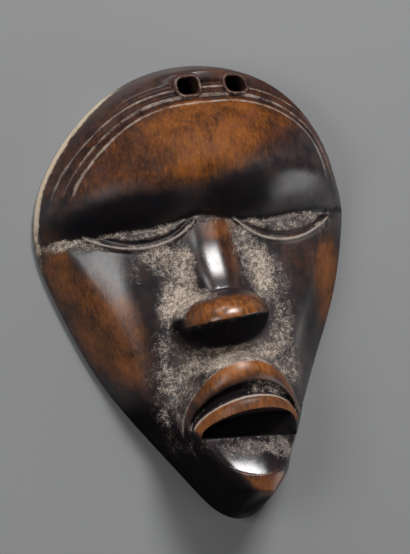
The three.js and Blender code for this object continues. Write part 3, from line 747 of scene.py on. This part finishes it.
def surface_marks(points):
    """How strong each mark is at each point, none on the back and the rim."""
    x, y, z = points.T
    inset = insets.at(x, y)
    front, back = front_height(x, y), hollow_height(x, y)
    on_front = ramp(0.4, 0.8, (z - back) / np.maximum(front - back, 1))
    on_front = np.where(inset < RIM, ramp(0.3, 1.2, z), on_front)
    tip, tip_wear, underside, bridge = nose_parts(x, y)
    upper, lip_highlight_line, on_band, band_line, groove, cavity = mouth_parts(x, y, z)
    dust_and_highlight_ridges, on_hairline, lips = hairline_parts(x, y, inset)
    within, lid_y = lid_line(x)
    lids = bell(y - lid_y + 0.6, 0.6) * ramp(0, 0.2, within + 0.02)
    lid_gap = bell(y - lid_y - 1.1, 0.6) * ramp(0, 0.15, within)
    fold = crease_y(x)
    left_wall = ramp(9, 6, inset) * ramp(-26, -36, y) * ramp(6, -2, x)
    # Bare wood and a painted rim highlight: a pale cream strip along the upper left edge
    rubbed_edge_and_rim_highlight = ramp(1.6, 0.5, inset) * ramp(2, 30, y) * ramp(-14, -30, x) * ramp(0.5, 1.5, z)

    # What stays unworn and black, then the wear round it. The black under the nose is dark patina and
    # painted shade; in the mouth's opening, the lip groove and on the left jaw wall it is painted shade.
    shade_and_patina_hollows = most(underside, cavity, groove, left_wall)
    left_of_forehead = ramp(0, -30, x)
    right_of_forehead = ramp(8, 30, x)
    on_forehead = patch(x, y, *FOREHEAD_WEAR) * (1 - 0.8 * on_hairline)
    on_forehead = on_forehead * (1 - 0.5 * left_of_forehead) * (1 - 0.3 * right_of_forehead)
    worn = most(
        on_forehead,
        patches(x, y, WORN_PLACES),
        patch(x, y, *CHIN_WEAR) * ramp(22, 31, z),
        tip_wear,
        upper * (0.45 + 0.55 * ramp(17, 10, np.abs(x - 3))),
        0.8 * on_band,
        0.35 * on_hairline,
    )
    worn = worn * (1 - 0.9 * shade_and_patina_hollows)
    black = most(
        patches(x, y, SHADE_PAINTED_PLACES),
        shade_and_patina_hollows,
        # Painted shade in the cut above each lid and on the brow's underside just above the crease
        0.6 * lid_gap,
        0.9 * bell(y - fold - 0.6, 1.0),
    )

    # Clay left in the hollows of the face, and none on the polished places
    kept_clean = most(tip, upper, on_band, underside, cavity, lid_gap)
    crust = patches(x, y, CRUST_PLACES) * (1 - kept_clean) * (1 - 0.85 * bridge) * ramp(1.6, 0.2, y - fold)
    crust = most(crust, 0.6 * groove * ramp(-4, 8, x))

    # Sheen, and the brighter tone of the most handled wood, which is also a painted highlight on the top of
    # the nose's cap and the middle of the upper lip
    polish = most(patches(x, y, POLISHED_PLACES), tip, 0.5 * upper)
    dull = most(patches(x, y, DULL_PLACES), shade_and_patina_hollows, 0.35 * upper, 0.5 * on_band)
    bright_wear_and_highlight = most(tip * ramp(0.97, 0.4, tip_out(x, y)), upper * ramp(18, 4, np.abs(x - 3)), 0.3 * on_band)

    # Pale dust along the lids, the band and the crease, a painted highlight line on the lip's edge, and
    # both on the hairline ridges, with a black blot on the lower lip
    blot = patch(x, y, *LIP_BLOT)
    crease_line = bell(y - fold + 0.5, 0.6) * ramp(46, 40, x) * ramp(-46, -40, x)
    pale = most(0.75 * lids, 0.6 * lip_highlight_line, 0.95 * band_line, dust_and_highlight_ridges, 0.45 * lips, 0.5 * crease_line)
    pale = pale * (1 - blot)
    crust = crust * (1 - blot)
    black = most(black, 0.8 * blot)
    return {
        "worn": worn * on_front,
        "black": black * on_front,
        "crust": crust * on_front,
        "pale": pale * on_front,
        "bare_and_rim_highlight": rubbed_edge_and_rim_highlight * on_front,
        "polish": polish * on_front,
        "dull": dull * on_front,
        "bright_wear_and_highlight": bright_wear_and_highlight * on_front,
        "front": on_front,
    }


def keep_marks(mesh):
    for name, share in surface_marks(drawn_points(mesh)).items():
        attribute = mesh.attributes.new(name, "FLOAT", "POINT")
        attribute.data.foreach_set("value", share.astype(np.float32))


def set_on_solid(mesh):
    """Brings the mesh from millimetres into metres, centred on the solid that it stands for."""
    solid_low, solid_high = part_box("mask")
    points = drawn_points(mesh)
    shift = (solid_low + solid_high) / 2 - Vector((points.min(0) + points.max(0)) / 2 * MM)
    shift.z = solid_low.z
    mesh.transform(Matrix.Translation(shift) @ Matrix.Scale(MM, 4))


mask = build_mask()
mesh = mask.data
mesh.name = "mask_wood"
keep_marks(mesh)
set_on_solid(mesh)
for polygon in mesh.polygons:
    polygon.use_smooth = True
mesh.set_sharp_from_angle(angle=radians(SHARP_ANGLE))

# Finish of the wood

colours = Sizes(
    deep_brown=(0.018, 0.006, 0.002, 1),
    orange_brown=(0.165, 0.052, 0.010, 1),
    golden_brown=(0.25, 0.085, 0.020, 1),
    red_brown=(0.095, 0.030, 0.015, 1),
    black_brown=(0.006, 0.0045, 0.006, 1),
    violet_brown=(0.030, 0.017, 0.016, 1),
    black=(0.0035, 0.003, 0.004, 1),
    raw_dark=(0.022, 0.011, 0.006, 1),
    raw_light=(0.075, 0.036, 0.018, 1),
    clay_dark=(0.080, 0.062, 0.050, 1),
    clay_light=(0.52, 0.43, 0.355, 1),
    dust=(0.30, 0.25, 0.215, 1),
    bare_wood=(0.47, 0.38, 0.28, 1),
    scratch=(0.42, 0.22, 0.10, 1),
)


class Wire:
    """A shader socket that is worked with like a number. Each operation adds its Math node."""

    def __init__(self, tree, socket=None):
        self.tree = tree
        self.socket = socket

    def make(self, kind, settings=None, sockets=None, out=0):
        """Adds any node: first its settings, then the value or link of each of its sockets."""
        node = self.tree.nodes.new(kind)
        for name, value in (settings or {}).items():
            setattr(node, name, value)
        for name, value in (sockets or {}).items():
            if isinstance(value, Wire):
                self.tree.links.new(value.socket, node.inputs[name])
            else:
                node.inputs[name].default_value = value
        return Wire(self.tree, node.outputs[out])

    def maths(self, operation, *values):
        return self.make("ShaderNodeMath", {"operation": operation}, dict(enumerate(values)))

    def __add__(self, other):
        return self.maths("ADD", self, other)

    def __radd__(self, other):
        return self.maths("ADD", other, self)

    def __sub__(self, other):
        return self.maths("SUBTRACT", self, other)

    def __rsub__(self, other):
        return self.maths("SUBTRACT", other, self)

    def __mul__(self, other):
        return self.maths("MULTIPLY", self, other)

    def above(self, start, end):
        """0 below the start, 1 past the end, and smooth between them."""
        return self.make(
            "ShaderNodeMapRange",
            {"interpolation_type": "SMOOTHSTEP"},
            {"Value": self, "From Min": start, "From Max": end},
        )

    def blend(self, first, second):
        """The first colour where this is 0 and the second where it is 1."""
        return self.make("ShaderNodeMix", {"data_type": "RGBA"}, {0: self, 6: first, 7: second}, out=2)

    def mark(self, name):
        return self.make("ShaderNodeAttribute", {"attribute_name": name}, out=2)

    def noise(self, size, detail=3, roughness=0.55, stretch=(1, 1, 1), warp=0.0):
        """Grey noise whose blots are about as large as the given size in millimetres."""
        place = self.make("ShaderNodeTexCoord", out=3)
        place = self.make("ShaderNodeMapping", sockets={"Vector": place, "Scale": stretch})
        sockets = {
            "Vector": place,
            "Scale": 1 / (size * MM),
            "Detail": detail,
            "Roughness": roughness,
            "Distortion": warp,
        }
        return self.make("ShaderNodeTexNoise", sockets=sockets)


def wood_finish():
    """One worn wood, waxed where it shines and dry where it is black, crusted or dull."""
    material = bpy.data.materials.new("worn_dark_wood")
    material.use_nodes = True
    tree = material.node_tree
    tree.nodes.remove(tree.nodes["Principled BSDF"])
    wire = Wire(tree)

    worn, black, crust = wire.mark("worn"), wire.mark("black"), wire.mark("crust")
    pale, bare_and_rim_highlight, front = wire.mark("pale"), wire.mark("bare_and_rim_highlight"), wire.mark("front")
    polish, dull, bright_wear_and_highlight = wire.mark("polish"), wire.mark("dull"), wire.mark("bright_wear_and_highlight")

    # Worn wood: orange brown, mottled, with fine grain that runs up the face
    mottle = wire.noise(9, detail=4, warp=0.4)
    fine = wire.noise(1.1, detail=4, roughness=0.7, stretch=(1, 0.35, 1))
    grain = wire.noise(0.45, detail=2, roughness=0.8, stretch=(1, 0.12, 1))
    tone = mottle * 0.55 + fine * 0.3 + grain * 0.25
    warm = tone.above(0.36, 0.72).blend(colours.deep_brown, colours.orange_brown)
    reddish = wire.noise(6, detail=3, warp=0.8).above(0.52, 0.68) * 0.5
    warm = reddish.blend(warm, colours.red_brown)

    # Unworn wood: nearly black, with a trace of violet brown
    dark = wire.noise(5, detail=4).above(0.35, 0.7).blend(colours.black_brown, colours.violet_brown)
    edge_noise = wire.noise(4, detail=5, roughness=0.65)
    streaks = wire.noise(1.3, detail=3, roughness=0.7, stretch=(1, 0.2, 1), warp=0.2)
    worn_here = (worn + (edge_noise - 0.5) * 0.6 + (streaks - 0.5) * 0.65).above(0.1, 0.95)
    # Golden tone of handled wood and a painted highlight on the nose's cap and the upper lip
    golden_wear_and_highlight = bright_wear_and_highlight * (mottle * 0.4 + fine * 0.6).above(0.42, 0.62) * 0.6
    warm = golden_wear_and_highlight.blend(warm, colours.golden_brown)
    colour = worn_here.blend(dark, warm)
    # Black patina, and painted shade under the brow, nose and chin, in the hollows and on the left jaw wall
    colour = (black * 0.92).blend(colour, colours.black)

    # Back and rim: drier, evenly dark brown wood
    raw = tone.above(0.3, 0.75).blend(colours.raw_dark, colours.raw_light)
    colour = (1 - front).blend(colour, raw)

    # Grey clay crust, pitted down to the dark wood
    grit = wire.noise(0.48, detail=4, roughness=0.8)
    pits = wire.noise(1.3, detail=3, roughness=0.6, warp=0.4)
    drifts = wire.noise(7, detail=3, warp=0.5)
    scatter = (grit - 0.5) * 1.7 + (pits - 0.5) * 1.0 + (drifts - 0.5) * 1.6
    cover = (crust * 0.9 + scatter).above(0.25, 1.05) * crust.above(0.02, 0.4)
    clay = (grit * 0.6 + pits * 0.4).above(0.34, 0.66).blend(colours.clay_dark, colours.clay_light)
    colour = (cover * 0.92).blend(colour, clay)
    # Pale lines: dust on the lids, band and crease, and painted highlight on the lip's edge and the
    # hairline ridges
    line = (pale + (grit - 0.5) * 0.9 + (edge_noise - 0.5) * 0.9).above(0.3, 0.85)
    colour = (line * 0.8).blend(colour, colours.dust)
    # Pale bare wood on the upper left rim, which is also a painted rim highlight
    rubbed_and_rim_lit = (bare_and_rim_highlight + (pits - 0.5) * 0.9 + (edge_noise - 0.5) * 1.1).above(0.25, 1.0)
    colour = rubbed_and_rim_lit.blend(colour, colours.bare_wood)

    # Hair-fine scratches and the relief of grain and crust
    scratch = wire.noise(0.5, detail=2, roughness=0.9, stretch=(1, 0.07, 1), warp=0.3).above(0.62, 0.72)
    colour = (scratch * worn_here * 0.22).blend(colour, colours.scratch)
    relief = grit * cover * 0.9 + cover * 0.5 + grain * worn_here * 0.1 + fine * 0.1 + mottle * 0.15
    bump = wire.make("ShaderNodeBump", sockets={"Height": relief, "Strength": 0.55, "Distance": 0.0004})
    rough = 0.42 + worn_here * 0.04 + (1 - front) * 0.25 - polish * 0.17
    rough = rough + cover * 0.2 + line * 0.15 + (fine - 0.5) * 0.14
    waxed = wire.make(
        "ShaderNodeBsdfPrincipled",
        sockets={"Base Color": colour, "Roughness": rough, "Normal": bump, "Specular IOR Level": 0.5},
    )
    dry = wire.make(
        "ShaderNodeBsdfPrincipled",
        sockets={"Base Color": colour, "Roughness": 0.85, "Normal": bump, "Specular IOR Level": 0.04},
    )
    dryness = wire.maths("MAXIMUM", wire.maths("MAXIMUM", black * 0.85, dull), cover * 0.9)
    surface = wire.make("ShaderNodeMixShader", sockets={0: dryness, 1: waxed, 2: dry})
    tree.links.new(surface.socket, tree.nodes["Material Output"].inputs["Surface"])
    return material


mesh.materials.clear()
mesh.materials.append(wood_finish())

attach(mask, "root")
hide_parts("mask")

# Floor, light and camera

FLOOR_SIZE = 3
FLOOR_COLOUR = (0.15, 0.152, 0.154, 1)
FLOOR_ROUGHNESS = 0.9
STUDIO_COLOUR = (0.25, 0.26, 0.27, 1)
STUDIO_STRENGTH = 0.15
LIGHT_AIM = (0, 0, 0.02)

# Angles in degrees, lengths in metres, sensor in millimetres and the image's height in pixels
view = Sizes(
    yaw=14,
    pitch=4,
    roll=6.5,
    distance=0.620,
    look_at=(-0.00119, 0.0038, 0.0178),
    sensor=36,
    focal_pixels=2027.4,
    image_height=554,
)


def add_floor():
    bm = bmesh.new()
    bmesh.ops.create_grid(bm, x_segments=1, y_segments=1, size=FLOOR_SIZE)
    mesh = bpy.data.meshes.new("floor")
    bm.to_mesh(mesh)
    bm.free()
    floor = bpy.data.objects.new("floor", mesh)
    bpy.context.scene.collection.objects.link(floor)
    paint = bpy.data.materials.new("floor_paint")
    paint.use_nodes = True
    shader = paint.node_tree.nodes["Principled BSDF"]
    shader.inputs["Base Color"].default_value = FLOOR_COLOUR
    shader.inputs["Roughness"].default_value = FLOOR_ROUGHNESS
    mesh.materials.append(paint)


def add_light(name, place, size, power):
    light = bpy.data.lights.new(name, "AREA")
    light.shape = "RECTANGLE"
    light.size, light.size_y = size
    light.energy = power
    lamp = bpy.data.objects.new(name, light)
    bpy.context.scene.collection.objects.link(lamp)
    lamp.location = place
    lamp.rotation_mode = "QUATERNION"
    lamp.rotation_quaternion = (Vector(LIGHT_AIM) - Vector(place)).to_track_quat("-Z", "Y")


def add_camera():
    """Looks down on the lying mask from a little to its left, turned as in the photograph."""
    yaw, pitch, roll = radians(view.yaw), radians(view.pitch), radians(view.roll)
    back = Vector((-np.sin(yaw) * np.cos(pitch), -np.sin(pitch), np.cos(yaw) * np.cos(pitch)))
    right = Vector((np.cos(yaw), 0, np.sin(yaw)))
    up = back.cross(right)
    turned_right = right * np.cos(roll) - up * np.sin(roll)
    turned_up = right * np.sin(roll) + up * np.cos(roll)
    data = bpy.data.cameras.new("camera")
    data.sensor_width = view.sensor
    data.lens = view.sensor * view.focal_pixels / view.image_height
    data.clip_start, data.clip_end = 0.01, 20
    camera = bpy.data.objects.new("camera", data)
    bpy.context.scene.collection.objects.link(camera)
    turn = Matrix((turned_right, turned_up, back)).transposed()
    place = Vector(view.look_at) + back * view.distance
    camera.matrix_world = Matrix.Translation(place) @ turn.to_4x4()
    bpy.context.scene.camera = camera


def add_world():
    world = bpy.data.worlds.new("studio")
    bpy.context.scene.world = world
    world.use_nodes = True
    background = world.node_tree.nodes["Background"]
    background.inputs["Color"].default_value = STUDIO_COLOUR
    background.inputs["Strength"].default_value = STUDIO_STRENGTH
    bpy.context.scene.view_settings.view_transform = "Standard"


add_floor()
add_light("top", (0.14, 0.50, 0.70), (0.27, 0.22), 9.6)
add_light("left", (-0.62, 0.02, 0.72), (0.45, 0.35), 4.2)
add_light("back", (-0.27, 0.80, 0.42), (0.5, 0.2), 2.2)
add_light("right", (0.82, -0.50, 0.26), (0.8, 0.6), 4.4)
add_camera()
add_world()
